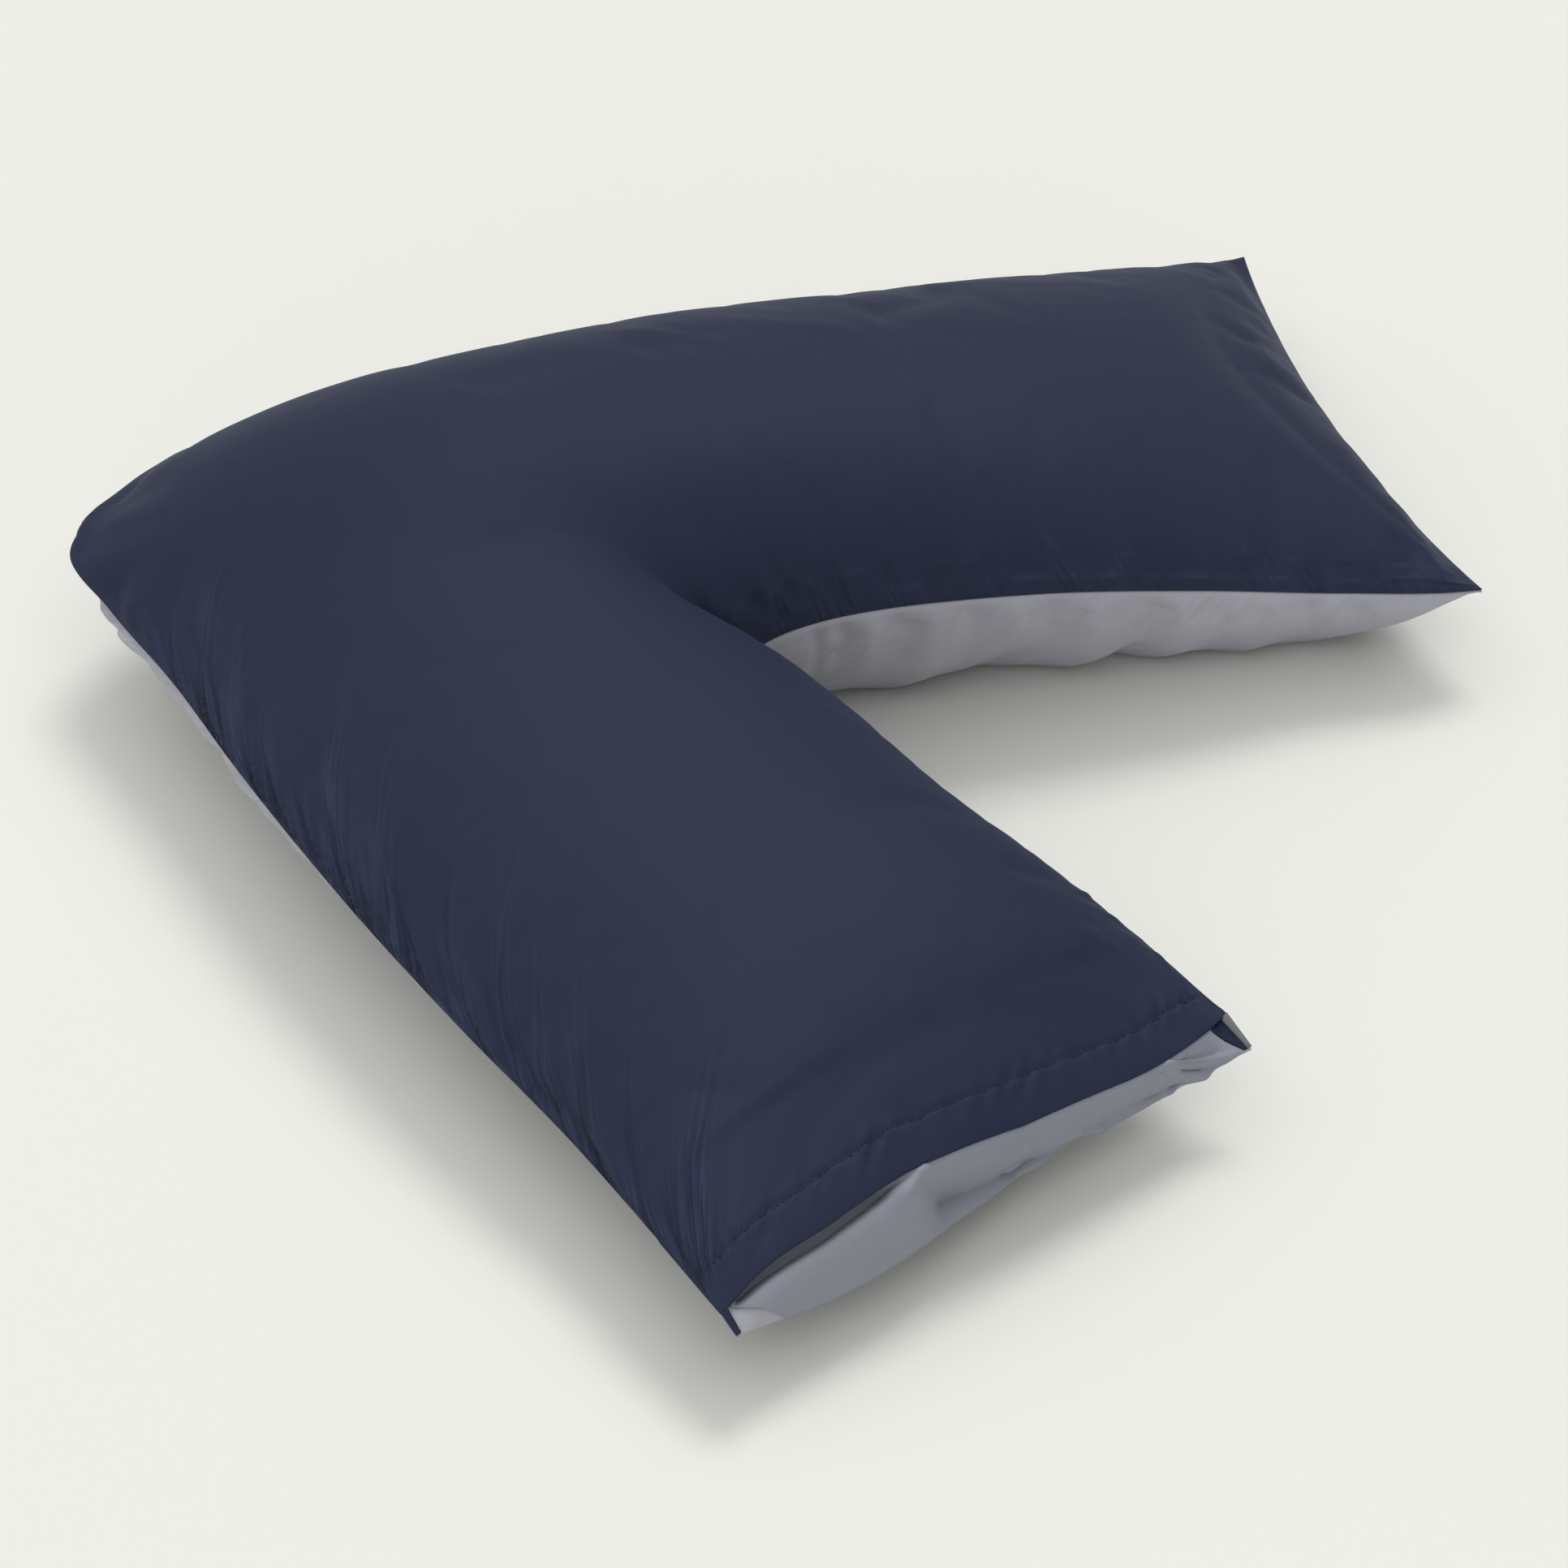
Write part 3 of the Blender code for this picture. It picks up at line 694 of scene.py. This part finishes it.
# The under cover: the same V in grey cotton percale. The pillow's weight presses it flat on the
# surface under the closed arm and the corner. Past the hem it runs on to the mouth's soft
# fold, whose two ends stand out as small ears.
UNDER_CREASES = (
    # the puckers along the closed arm's inner seam
    (84, 99, 66, 84, 8, 3.0),
    (112, 99, 90, 80, 11, 3.6),
    (136, 99, 120, 82, 7, -1.8),
    (176, 99, 152, 78, 9, 2.6),
    (204, 99, 184, 80, 7, -1.6),
    (226, 99, 196, 74, 10, 3.2),
    (262, 99, 240, 76, 9, -2.0),
    (290, 99, 262, 76, 10, 3.2),
    (316, 99, 296, 78, 8, -2.2),
    (340, 99, 320, 76, 10, 3.4),
    (366, 99, 348, 78, 7, -2.0),
    (388, 99, 366, 76, 9, 3.4),
    (410, 98, 392, 78, 7, -2.2),
    (432, 98, 410, 77, 9, 3.6),
    (456, 97, 430, 78, 8, 3.6),
    # the lumps and dips of the closed arm's lower edge
    (467, 78, 470, 60, 16, -4.5),
    (431, 78, 428, 62, 12, 4),
    (349, 78, 352, 60, 18, -4.5),
    (290, 78, 292, 62, 14, 4),
    (236, 78, 238, 60, 16, -4.5),
    (206, 78, 204, 62, 10, 3.5),
    (176, 78, 174, 62, 14, -3),
    (123, 78, 125, 62, 14, -3),
    # the bulge past the seam at the outer corner, and its two folds
    (772, 3, 768, 14, 4, 3.0),
    (757, 7, 770, 8, 9, -6),
    (774, 8, 840, 9, 14, -9.5),
    (830, 8, 930, 9, 15, -7),
    (905, 8, 1000, 9, 15, -4.5),
    (818, 5, 814, 12, 4, 2.5),
    # the drags along the open arm's outer seam
    (760, 2, 772, 18, 8, 2.6),
    (790, 2, 806, 20, 9, 3.4),
    (826, 2, 838, 18, 7, 2.4),
    (862, 2, 880, 18, 8, 2.6),
    (900, 2, 920, 18, 9, 3.2),
    (950, 2, 968, 16, 8, 2.4),
    (1030, 2, 1050, 18, 11, 3.2),
    (1110, 2, 1128, 16, 10, 2.4),
    (1190, 2, 1212, 18, 11, 3.2),
    (1270, 2, 1288, 16, 10, 2.6),
)
# How far the outer seam rolls under, so that the navy hides the grey: place along the pillow
# and millimetres.
SEAM_ROLL = (
    (560, 0), (640, 3), (700, 4.5), (737, 4.5), (757, 0.5), (800, 0), (870, 0.5), (960, 3), (1380, 3.2)
)
ROLL_REACH = 0.04
FLAP_THICKNESS = 0.9
FLAP_ROOM = 0.4
FLAP_EDGE = 0.018
HEM_CLEAR = 0.3

# The hollows (above 0) and swells (below 0) of the cloth in the mouth: place across the mouth,
# and place from the hem at 0 down to the fold at 1, of both ends, then width and depth.
MOUTH_RELIEF = (
    (0.05, -0.03, 0.32, -0.05, 5, 12.0),
    (0.395, 0.02, 0.355, 0.25, 4, -3.0),
    (0.355, 0.25, 0.37, 0.50, 6, -1.6),
    (0.42, 0.25, 0.47, 0.50, 9, 3.5),
    (0.45, 0.58, 0.60, 0.74, 12, 18.0),
    (0.60, 0.76, 0.72, 0.95, 7, 9.0),
    (0.48, 0.24, 0.60, 0.38, 5, -2.6),
    (0.60, 0.38, 0.70, 0.70, 4, -3.6),
    (0.70, 0.70, 0.757, 1.00, 4, -3.0),
    (0.76, 0.72, 0.89, 0.80, 9, 6.0),
    (0.865, 0.04, 0.977, 0.88, 2.4, -3.2),
    (0.868, 0.14, 0.936, 1.00, 2.4, -3.0),
    (0.855, 0.20, 0.885, 1.00, 2.4, -2.2),
    (0.865, 0.60, 0.91, 1.00, 3, 2.0),
    (0.895, 0.40, 0.955, 0.96, 3, 2.6),
    (0.80, 0.55, 0.90, 0.95, 5, 2.4),
    (0.91, 0.10, 0.955, 0.55, 4, 1.6),
    (0.80, 0.20, 0.70, 0.55, 6, -1.6),
    (0.980, -0.10, 0.994, 0.80, 3.2, 3.0),
)
FOLD_SETBACK = 16.0
MOUTH_WIDTH = 357.0
MOUTH_HEIGHT = 42.0
# Of its depth, a hollow goes this share back into the pillow and this share down.
SHARE_BACK = 0.55
SHARE_DOWN = 0.75
# The flap swells out under the hem up to here across the mouth, and hangs steeper further in.
SWELL_ENDS = (0.33, 0.43)


def mouth_relief(across, share):
    """The depth of the mouth's hollows, less that of its swells."""
    across, share = np.broadcast_arrays(across, share)
    depth_there = np.zeros(across.shape)
    for from_across, from_share, to_across, to_share, width, depth in MOUTH_RELIEF:
        run = (to_across - from_across) * MOUTH_WIDTH
        drop = (to_share - from_share) * MOUTH_HEIGHT
        beside = (across - from_across) * MOUTH_WIDTH
        below = (share - from_share) * MOUTH_HEIGHT
        place = np.clip((beside * run + below * drop) / (run * run + drop * drop), 0, 1)
        gap = np.hypot(beside - place * run, below - place * drop)
        depth_there += depth * np.exp(-((gap / width) ** 2))
    return depth_there * from_edge(across, 0.006)


def sunk(points, across, share):
    """The cloth in the mouth, set back into the pillow by its relief."""
    depth_there = mouth_relief(across, share)
    points[..., :2] -= outward() * (SHARE_BACK * depth_there)[..., None]
    points[..., 2] -= SHARE_DOWN * depth_there * (1 - np.clip(share, 0, 1) ** 2)
    return points


def flap_space(across):
    """The space for the flap behind the hem. It closes at the mouth's two corners."""
    return (FLAP_THICKNESS + FLAP_ROOM + HEM_CLEAR) * from_edge(across, FLAP_EDGE)


def under_inside(along, across):
    """The upper side of the under cover's end, behind the hem and under the flap."""
    along, across = np.broadcast_arrays(along, across)
    points = hem_underside(along, across)
    share = ease((along - HEM_AT + HEM_DEPTH + FILLING_END) / FILLING_END)
    points[..., 2] -= SEAM_GAP + (flap_space(across) + read_mouth("gape", across)) * share
    return sunk(points, across, (along - HEM_AT) / MOUTH_HEIGHT)


def under_sheet(along, across):
    """The outside of the under cover, flat where it rests."""
    along, across = np.broadcast_arrays(along, across)
    points = filled_sheet("belly", -1, along, across)
    at_mouth = ease((along - HEM_AT + MOUTH_REACH) / MOUTH_REACH)
    behind_fold = read_mouth("fold_out", across) - FOLD_SETBACK * from_edge(across, 0.1)
    out = np.minimum(read_mouth("hem_out", across), behind_fold)
    points[..., :2] += outward() * (at_mouth * out)[..., None]
    places, rolls = np.array(SEAM_ROLL, float).T
    rolled = np.interp(along, places, rolls) * (1 - ease(across / ROLL_REACH))
    inward = parting(along, across + 0.02) - parting(along, across)
    inward /= np.linalg.norm(inward, axis=-1, keepdims=True)
    points += inward * rolled[..., None]
    points[..., 2] -= SEAM_GAP / 2 + SEAM_LIP
    points = creased(points, along, across, UNDER_CREASES)
    points[..., 2] = np.maximum(points[..., 2], 0.0)
    return points


def fold_line(across):
    """The soft fold along the mouth's lower edge, between the two ears."""
    start = np.array([SECTION["outer_x"][-2], SECTION["outer_y"][-2]])
    end = np.array([SECTION["inner_x"][-2], SECTION["inner_y"][-2]])
    points = np.empty(np.shape(across) + (3,))
    points[..., :2] = mix(start, end, across[..., None])
    points[..., :2] += outward() * read_mouth("fold_out", across)[..., None]
    points[..., 2] = read_mouth("fold_z", across)
    return points


def end_face(share, across):
    """The pillow's end in the mouth, from the hem at share 0 down to the fold at share 1."""
    share, across = np.broadcast_arrays(share, across)
    top = hem_underside(np.full_like(across, HEM_AT), across)
    top[..., 2] -= SEAM_GAP + flap_space(across) + read_mouth("gape", across)
    fold = fold_line(across)
    setback = (FLAP_THICKNESS + FLAP_ROOM) * from_edge(across, FLAP_EDGE)
    fold[..., :2] -= outward() * setback[..., None]
    fold[..., 2] += SEAM_LIP
    swell = 1 - ease((across - SWELL_ENDS[0]) / (SWELL_ENDS[1] - SWELL_ENDS[0]))
    inside = from_edge(across, 0.10) * swell
    forward = mix(share, np.sin(share * np.pi / 2), inside)
    downward = mix(share, 1 - np.cos(share * np.pi / 2), inside)
    points = np.empty(np.shape(across) + (3,))
    points[..., :2] = mix(top[..., :2], fold[..., :2], forward[..., None])
    points[..., 2] = mix(top[..., 2], fold[..., 2], downward)
    return sunk(points, across, share)


end_shares = np.linspace(0, 1, 19)[1:, None]
under_skin = under_sheet(along, across)
under_skin += wrinkles(under_skin, along, across, False)
under_skin[..., 2] = np.maximum(under_skin[..., 2], 0.0)
under_fold = end_face(np.ones((1, 1)), across)
under_fold[..., 2] -= SEAM_LIP
under_end = mix(under_skin[-1:], under_fold, end_shares[..., None])
under_face = end_face(end_shares, across)[::-1]
under_lip = under_inside(along[-behind_hem:], across)[::-1]
under_seam = seam_line(*np.broadcast_arrays(along[:-behind_hem], sides), -1)
under_close = seam_line(*np.broadcast_arrays(along[:1], across), -1)[0]
under_cover = sewn_body(
    "under_cover",
    np.concatenate([under_skin, under_end]),
    np.concatenate([under_face, under_lip]),
    under_seam,
    under_close,
)
UNDER_DRAGS = (
    (640, 1362, 0, 60, 0.30, 0.3),
    (0, 620, 0, 50, 0.20, 0.3),
    (8, 560, 1, 60, -0.30, 0.10),
    (760, 1362, 1, 50, 0.30, 0.3),
)
lay_weave(under_cover, under_skin[..., 0].size, along, across, UNDER_DRAGS)
grey = percale("grey percale", (0.405, 0.405, 0.462), (0.7, 0.7, 0.8), 0.2, 0.65)
under_cover.data.materials.append(grey)
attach(under_cover, "root")
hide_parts("bottom_panel")

# The inner flap: a strip of grey percale that carries on from the under cover's fold, turned in
# over the filling and tucked up behind the hem. It lies free, so it swells and dents.
FLAP_TUCK = 30.0
FLAP_OUTER_ENDS = (0.022, 0.100)
FLAP_INNER_ENDS = (0.962, 0.992)
TUCKED_ROWS = 11
SHOWN_ROWS = 33

flap_columns = np.linspace(0, 1, 231)[None, :]
flap_shares = np.concatenate([
    np.linspace(-FLAP_TUCK / MOUTH_HEIGHT, 0, TUCKED_ROWS + 1)[:-1],
    np.linspace(0, 1, SHOWN_ROWS),
])[:, None]
down = np.clip(flap_shares, 0, 1)
first_across = mix(*FLAP_OUTER_ENDS, down**1.2)
last_across = mix(*FLAP_INNER_ENDS, down)
flap_across = mix(first_across, last_across, flap_columns)
tucked_along = HEM_AT + flap_shares[:TUCKED_ROWS] * MOUTH_HEIGHT
tucked = under_inside(tucked_along, flap_across[:TUCKED_ROWS])
shown = end_face(flap_shares[TUCKED_ROWS:], flap_across[TUCKED_ROWS:])
flap_back = np.concatenate([tucked, shown])
normal = np.cross(np.gradient(flap_back, axis=0), np.gradient(flap_back, axis=1))
normal /= np.linalg.norm(normal, axis=-1, keepdims=True)
flap_back = flap_back + normal * FLAP_ROOM
flap_front = flap_back + normal * FLAP_THICKNESS


def sheet_body(name, back, front):
    """A closed thin sheet between two grids of points."""
    rows, count = back.shape[:2]
    size = rows * count
    points = (np.concatenate([back.reshape(-1, 3), front.reshape(-1, 3)]) + CORNER_AT) * MM
    index = np.arange(size).reshape(rows, count)
    other = index + size
    faces = []
    for row in range(rows - 1):
        for column in range(count - 1):
            a, b = index[row, column], index[row, column + 1]
            c, d = index[row + 1, column + 1], index[row + 1, column]
            faces.append((a, b, c, d))
            faces.append((d + size, c + size, b + size, a + size))
    rim = np.concatenate([index[0], index[1:, -1], index[-1, -2::-1], index[-2:0:-1, 0]])
    rim_other = np.concatenate([other[0], other[1:, -1], other[-1, -2::-1], other[-2:0:-1, 0]])
    for place in range(len(rim)):
        after = (place + 1) % len(rim)
        faces.append((rim[after], rim[place], rim_other[place], rim_other[after]))
    mesh = bpy.data.meshes.new(name)
    mesh.from_pydata(points.tolist(), [], [[int(v) for v in face] for face in faces])
    bm = bmesh.new()
    bm.from_mesh(mesh)
    bmesh.ops.recalc_face_normals(bm, faces=bm.faces)
    bm.to_mesh(mesh)
    bm.free()
    mesh.shade_smooth()
    body = bpy.data.objects.new(name, mesh)
    bpy.context.scene.collection.objects.link(body)
    layer = mesh.uv_layers.new(name="cloth")
    loops = np.zeros(len(mesh.loops), int)
    mesh.loops.foreach_get("vertex_index", loops)
    u, v = np.meshgrid(np.linspace(0, 0.35, count), np.linspace(0, 0.07, rows))
    places = np.stack([u.ravel(), v.ravel()], 1)
    layer.data.foreach_set("uv", np.concatenate([places, places])[loops].ravel())
    return body


mouth_flap = sheet_body("mouth_flap", flap_back, flap_front)
# the flap's grey is a darker copy of the under cover's grey, the same cloth: painted shade for the
# flap hanging in shadow under the hem
flap_grey_painted_shade = percale("grey flap percale painted shade", (0.272, 0.288, 0.340), (0.7, 0.7, 0.8), 0.2, 0.65)
mouth_flap.data.materials.append(flap_grey_painted_shade)
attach(mouth_flap, "root")
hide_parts("inner_flap")

# The side seams' two ends in the mouth: on each side a narrow folded strip of the cover runs on from
# the hem's corner down to the tip of the ear. The outer one is navy. The inner one is grey, made
# darker as painted shade. The turned-in navy cloth lies in the gap beside it, a dark sheet that also
# stands in for the gap's shadow.
BAND_THICKNESS = 1.1
BAND_UP = np.array([0.0, -0.5, 0.85])
# a darker copy of the grey percale: painted shade on the inner strip
shaded = percale("grey seam percale painted shade", (0.17, 0.185, 0.195), (0.7, 0.7, 0.8), 0.2, 0.65)
# Each strip's two edges across the mouth, at the hem and at the tip, and how far it lifts.
SEAM_ENDS = (
    ("outer_seam_end", 0.0, 0.0, 0.0140, 0.0120, 1.3, navy, "navy_cotton"),
    ("inner_seam_end", 1.0, 1.0, 0.9890, 0.9955, 1.3, shaded, "grey_cotton"),
    # the turned-in navy cloth sunk in the gap beside the inner strip: a real part, and also a dark
    # sheet that stands in for the gap's shadow
    ("inner_seam_lining", 0.990, 0.9965, 0.9640, 0.9930, 0.3, navy, "navy_cotton"),
)

for name, at_hem, at_tip, far_at_hem, far_at_tip, lift, colour, slot in SEAM_ENDS:
    band_shares = np.linspace(-0.04, 0.97, 14)[:, None]
    edges = mix(at_hem, at_tip, band_shares), mix(far_at_hem, far_at_tip, band_shares)
    band_across = np.clip(mix(*edges, np.linspace(0, 1, 5)[None, :]), 0, 1)
    straight = mix(
        end_face(np.zeros_like(band_across), band_across),
        end_face(np.ones_like(band_across), band_across),
        band_shares[..., None],
    )
    near_side = straight + BAND_UP * lift
    band = sheet_body(name, near_side, straight + BAND_UP * (lift + BAND_THICKNESS))
    band.data.materials.append(colour)
    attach(band, "root")

# The hem's stitching: one row of navy lockstitch through the folded hem, 22 to 26 mm in from
# its edge. Each stitch is a short thread pulled down into the cloth at both ends.
STITCH_PITCH = 3.2
STITCH_LENGTH = 2.1
THREAD = 0.45

row_across = np.linspace(0.012, 0.988, 1200)
row_points = top_sheet(np.full_like(row_across, HEM_AT - STITCH_BACK), row_across)
row_length = np.concatenate([[0], np.cumsum(np.linalg.norm(np.diff(row_points, axis=0), axis=1))])
uneven = np.random.default_rng(5)
bm = bmesh.new()
for start in np.arange(4.0, row_length[-1] - 6.0, STITCH_PITCH):
    ends = start + np.array([0, STITCH_LENGTH]) + uneven.uniform(-0.3, 0.3, 2)
    ends = np.interp(ends, row_length, row_across)
    at = top_sheet(HEM_AT - STITCH_BACK + uneven.uniform(-0.25, 0.25, 2), ends)
    a, b = (Vector((point + CORNER_AT) * MM) for point in at)
    made = bmesh.ops.create_uvsphere(bm, u_segments=6, v_segments=4, radius=0.5)
    run = b - a
    turn = run.to_track_quat("X", "Z").to_matrix().to_4x4()
    for vert in made["verts"]:
        vert.co.x *= run.length
        vert.co.y *= THREAD * 2 * MM
        vert.co.z *= THREAD * 2 * MM
        vert.co = turn @ vert.co + (a + b) / 2
mesh = bpy.data.meshes.new("hem_stitching")
bm.to_mesh(mesh)
bm.free()
mesh.shade_smooth()
hem_stitching = bpy.data.objects.new("hem_stitching", mesh)
bpy.context.scene.collection.objects.link(hem_stitching)
thread = percale("navy thread", (0.010, 0.013, 0.027), (0.5, 0.55, 0.7), 0.3, 0.5)
mesh.materials.append(thread)
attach(hem_stitching, "root")

# The surface the pillow lies on, the light and the camera: a plain pale floor in a
# pale room, soft light from overhead and behind, and the photograph's long, raised view.
bpy.ops.mesh.primitive_plane_add(size=30, location=(0, 0, 0))
floor = bpy.context.object
floor.name = "floor"
paper = bpy.data.materials.new("pale floor")
paper.use_nodes = True
surface = paper.node_tree.nodes["Principled BSDF"].inputs
surface["Base Color"].default_value = (0.80, 0.81, 0.76, 1)
surface["Roughness"].default_value = 0.9
surface["Specular IOR Level"].default_value = 0.1
floor.data.materials.append(paper)

world = bpy.data.worlds.new("studio")
world.use_nodes = True
world.node_tree.nodes["Background"].inputs["Color"].default_value = (1.0, 0.995, 0.93, 1)
world.node_tree.nodes["Background"].inputs["Strength"].default_value = 0.12
bpy.context.scene.world = world

for name, direction, angle, strength in (
    ("window", (0.31, 0.34, 0.90), 0.40, 0.90),
    ("ceiling", (0.00, 0.00, 1.00), 1.60, 1.14),
    ("back wall", (0.38, 0.70, 0.80), 1.20, 0.47),
    ("left wall", (-0.75, 0.51, 0.55), 1.20, 0.47),
    ("front wall", (-0.43, -0.79, 0.55), 1.20, 0.88),
):
    lamp = bpy.data.lights.new(name, "SUN")
    lamp.energy = strength
    lamp.angle = angle
    light = bpy.data.objects.new(name, lamp)
    light.rotation_euler = Vector(direction).to_track_quat("Z", "Y").to_euler()
    bpy.context.scene.collection.objects.link(light)

eye = Vector((-1.8565, -3.2480, 2.914))
aim = Vector((-0.1048, 0.0074, 0.05))
camera = bpy.data.cameras.new("camera")
camera.sensor_width = 36
camera.lens = 190.68
viewer = bpy.data.objects.new("camera", camera)
viewer.location = eye
viewer.rotation_euler = (aim - eye).to_track_quat("-Z", "Y").to_euler()
bpy.context.scene.collection.objects.link(viewer)
bpy.context.scene.camera = viewer
bpy.context.scene.view_settings.view_transform = "Standard"
